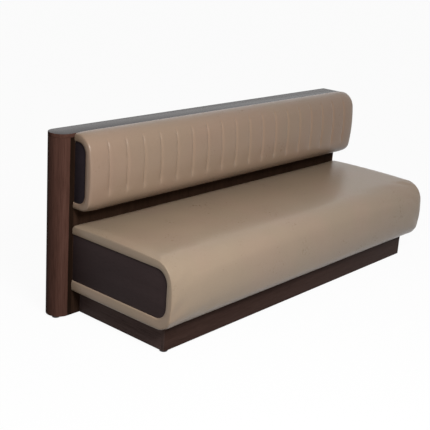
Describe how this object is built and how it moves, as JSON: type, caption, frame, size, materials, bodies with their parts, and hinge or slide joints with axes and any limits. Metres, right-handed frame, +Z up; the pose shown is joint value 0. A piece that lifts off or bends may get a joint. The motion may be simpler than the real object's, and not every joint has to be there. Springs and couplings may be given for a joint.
{
  "type": "restaurant bench seat",
  "caption": "Upholstered restaurant bench with a channelled backrest, hung on a veneered back panel with one rounded end, on a recessed plinth with levelling glides.",
  "frame": {"origin": "on the floor, at the middle of the outline in plan", "axes": "X along the bench, the seat faces -Y, Z up; the panel's rounded end is at -X"},
  "size_m": [2.138, 0.752, 0.88],
  "materials": {
    "vinyl": "satin coated upholstery vinyl, warm taupe",
    "walnut_veneer": "satin dark walnut veneer, grain upright",
    "dark_lacquer": "satin lacquer on a dark walnut capping",
    "dark_laminate": "matt very dark brown facing on plywood",
    "dark_walnut": "satin dark walnut veneer, grain lengthwise",
    "plywood": "bare birch plywood",
    "softwood": "bare planed softwood",
    "zinc_steel": "bright zinc plate",
    "black_plastic": "matt black moulded nylon"
  },
  "bodies": {
    "bench": {"seat_cushion": "vinyl", "backrest_cushion": "vinyl", "back_front_skin": "walnut_veneer", "back_rear_skin": "walnut_veneer", "back_rounded_end": "walnut_veneer", "back_end_board": "walnut_veneer", "back_top_cap": "dark_lacquer", "seat_end_panel_left": "dark_laminate", "seat_end_panel_right": "dark_laminate", "backrest_end_panel_left": "dark_laminate", "backrest_end_panel_right": "dark_laminate", "plinth_front_board": "dark_walnut", "plinth_end_board_left": "dark_walnut", "plinth_end_board_right": "dark_walnut", "seat_nosing": "plywood", "seat_deck": "plywood", "seat_bottom": "plywood", "seat_rear_rail": "plywood", "seat_rib_1": "plywood", "seat_rib_2": "plywood", "seat_rib_3": "plywood", "backrest_nosing": "plywood", "backrest_top_board": "plywood", "backrest_bottom_board": "plywood", "backrest_rib_1": "plywood", "backrest_rib_2": "plywood", "backrest_rib_3": "plywood", "wall_batten": "plywood", "backrest_batten": "plywood", "round_end_former_1": "plywood", "round_end_former_2": "plywood", "plinth_rear_rail": "plywood", "plinth_cross_member_1": "plywood", "plinth_cross_member_2": "plywood", "back_bottom_rail": "softwood", "back_top_rail": "softwood", "back_stud_left": "softwood", "back_stud_middle": "softwood", "back_stud_right": "softwood", "round_end_foot_block": "softwood", "seat_blocking_left": "softwood", "seat_blocking_right": "softwood", "backrest_blocking_left": "softwood", "backrest_blocking_right": "softwood", "plinth_foot_block_left": "softwood", "plinth_foot_block_right": "softwood", "batten_screws": "zinc_steel", "seat_bolts": "zinc_steel", "seat_bolt_washers": "zinc_steel", "seat_bolt_nuts": "zinc_steel", "glide_nuts": "zinc_steel"},
    "front_left_glide": {"glide_pad_front_left": "black_plastic", "glide_stem_front_left": "zinc_steel"},
    "front_right_glide": {"glide_pad_front_right": "black_plastic", "glide_stem_front_right": "zinc_steel"},
    "rear_left_glide": {"glide_pad_rear_left": "black_plastic", "glide_stem_rear_left": "zinc_steel"},
    "rear_right_glide": {"glide_pad_rear_right": "black_plastic", "glide_stem_rear_right": "zinc_steel"}
  },
  "joints": [
    {"name": "front_left_turn", "type": "hinge", "parent": "bench", "child": "front_left_glide", "pos_m": [-0.906, -0.266, 0.02], "axis": [0, 0, -1], "range_deg": [0, 3456]},
    {"name": "front_right_turn", "type": "hinge", "parent": "bench", "child": "front_right_glide", "pos_m": [0.958, -0.236, 0.02], "axis": [0, 0, -1], "range_deg": [0, 3456]},
    {"name": "rear_left_turn", "type": "hinge", "parent": "bench", "child": "rear_left_glide", "pos_m": [-1.035, 0.304, 0.02], "axis": [0, 0, -1], "range_deg": [0, 3456]},
    {"name": "rear_right_turn", "type": "hinge", "parent": "bench", "child": "rear_right_glide", "pos_m": [1.009, 0.316, 0.02], "axis": [0, 0, -1], "range_deg": [0, 3456]}
  ]
}
